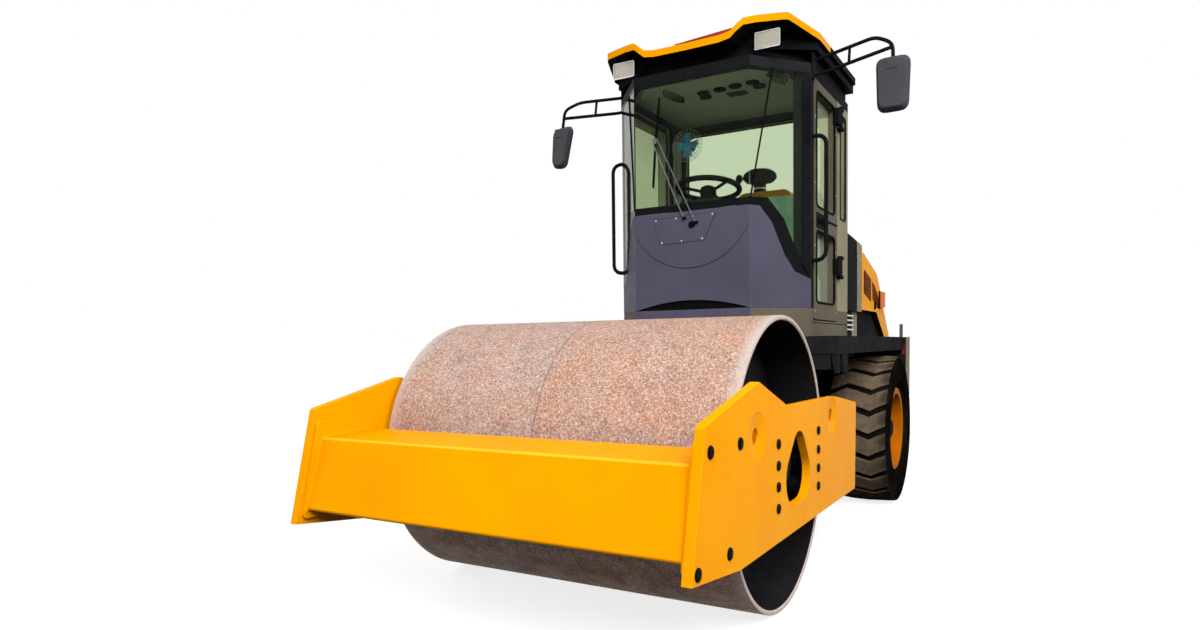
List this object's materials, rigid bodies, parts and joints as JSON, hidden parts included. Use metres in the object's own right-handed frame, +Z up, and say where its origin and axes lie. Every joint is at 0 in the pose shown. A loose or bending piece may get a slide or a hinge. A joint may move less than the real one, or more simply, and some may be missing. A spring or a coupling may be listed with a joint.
{
  "type": "single drum roller",
  "caption": "Articulated soil compactor with a smooth steel drum in a front frame, a glazed cab over the pivot, an engine hood and rear drive wheels.",
  "frame": {"origin": "on the floor under the steering pivot, the middle of the machine's length and width", "axes": "-Y towards the drum end (forwards), +X towards the machine's left side, +Z up"},
  "size_m": [2.29, 4.852, 2.914],
  "materials": {
    "machine_yellow": "glossy orange-yellow machine enamel",
    "cab_grey": "satin dark grey-violet enamel",
    "black_paint": "satin black chassis paint",
    "drum_steel": "bare rolled steel with a thin pinkish-brown rust bloom",
    "dull_steel": "plain machined steel",
    "rod_chrome": "hard chrome",
    "tyre_rubber": "black rubber with tan dust on the lugs",
    "pane_glass": "clear glass with a pale green tint",
    "trim_plastic": "grained black plastic",
    "seat_fabric": "dark woven cloth",
    "lamp_plastic": "clear lens over bright reflectors",
    "amber_plastic": "amber lens"
  },
  "bodies": {
    "rear_frame": {"rear_frame": "black_paint", "pivot_pin": "dull_steel", "rear_axle": "black_paint", "engine_block": "black_paint", "exhaust_pipe": "dull_steel", "counterweight": "machine_yellow", "platform": "black_paint", "tank_housing": "cab_grey", "air_cleaner": "machine_yellow", "cab_base": "cab_grey", "cab_front_panel": "cab_grey", "cab_frame": "cab_grey", "windscreen": "pane_glass", "rear_glass": "pane_glass", "roof": "machine_yellow", "roof_liner": "black_paint", "seat": "seat_fabric", "steering_console": "trim_plastic", "mirror_left": "trim_plastic", "mirror_right": "trim_plastic", "work_lamp_left": "lamp_plastic", "work_lamp_right": "lamp_plastic"},
    "front_frame": {"side_plate_left": "machine_yellow", "side_plate_right": "machine_yellow", "front_beam": "machine_yellow", "rear_crossbeam": "machine_yellow", "drum_mount_left": "black_paint", "drum_mount_right": "black_paint"},
    "drum": {"drum_shell": "drum_steel", "drum_core": "black_paint"},
    "wheel_left": {"tyre_left": "tyre_rubber", "rim_left": "machine_yellow"},
    "wheel_right": {"tyre_right": "tyre_rubber", "rim_right": "machine_yellow"},
    "cab_door_left": {"door_left": "cab_grey", "door_glass_left": "pane_glass"},
    "cab_door_right": {"door_right": "cab_grey", "door_glass_right": "pane_glass"},
    "engine_hood": {"hood": "machine_yellow", "hood_mesh_left": "trim_plastic", "hood_mesh_right": "trim_plastic", "turn_lamp_left": "amber_plastic", "turn_lamp_right": "amber_plastic"},
    "barrel_left": {"ram_barrel_left": "black_paint"},
    "rod_left": {"ram_rod_left": "rod_chrome"},
    "barrel_right": {"ram_barrel_right": "black_paint"},
    "rod_right": {"ram_rod_right": "rod_chrome"}
  },
  "joints": [
    {"name": "steering", "type": "hinge", "parent": "rear_frame", "child": "front_frame", "pos_m": [0, 0, 0.61], "axis": [0, 0, 1], "range_deg": [-33, 33]},
    {"name": "drum_spin", "type": "hinge", "parent": "front_frame", "child": "drum", "pos_m": [0, -1.31, 0.625], "axis": [1, 0, 0], "continuous": true},
    {"name": "wheel_spin_left", "type": "hinge", "parent": "rear_frame", "child": "wheel_left", "pos_m": [0.68, 1.31, 0.518], "axis": [1, 0, 0], "continuous": true},
    {"name": "wheel_spin_right", "type": "hinge", "parent": "rear_frame", "child": "wheel_right", "pos_m": [-0.68, 1.31, 0.518], "axis": [1, 0, 0], "continuous": true},
    {"name": "door_left_hinge", "type": "hinge", "parent": "rear_frame", "child": "cab_door_left", "pos_m": [0.633, 0.577, 1.9], "axis": [0, 0, 1], "range_deg": [0, 165]},
    {"name": "door_right_hinge", "type": "hinge", "parent": "rear_frame", "child": "cab_door_right", "pos_m": [-0.633, 0.577, 1.9], "axis": [0, 0, -1], "range_deg": [0, 165]},
    {"name": "hood_hinge", "type": "hinge", "parent": "rear_frame", "child": "engine_hood", "pos_m": [0, 1.344, 1.802], "axis": [1, 0, 0], "range_deg": [0, 60]},
    {"name": "barrel_left_swing", "type": "hinge", "parent": "rear_frame", "child": "barrel_left", "pos_m": [0.245, 0.6, 0.61], "axis": [0, 0, 1], "range_deg": [-5, 5]},
    {"name": "rod_left_slide", "type": "slide", "parent": "barrel_left", "child": "rod_left", "axis": [-0.0778, -0.997, 0], "range_m": [-0.115, 0.115]},
    {"name": "barrel_right_swing", "type": "hinge", "parent": "rear_frame", "child": "barrel_right", "pos_m": [-0.245, 0.6, 0.61], "axis": [0, 0, 1], "range_deg": [-5, 5]},
    {"name": "rod_right_slide", "type": "slide", "parent": "barrel_right", "child": "rod_right", "axis": [0.0778, -0.997, 0], "range_m": [-0.115, 0.115]}
  ],
  "couplings": [
    {"joint": "barrel_left_swing", "follows": "steering", "ratio": 0.125},
    {"joint": "rod_left_slide", "follows": "steering", "m_per_rad": -0.1935},
    {"joint": "barrel_right_swing", "follows": "steering", "ratio": 0.125},
    {"joint": "rod_right_slide", "follows": "steering", "m_per_rad": 0.1935}
  ]
}
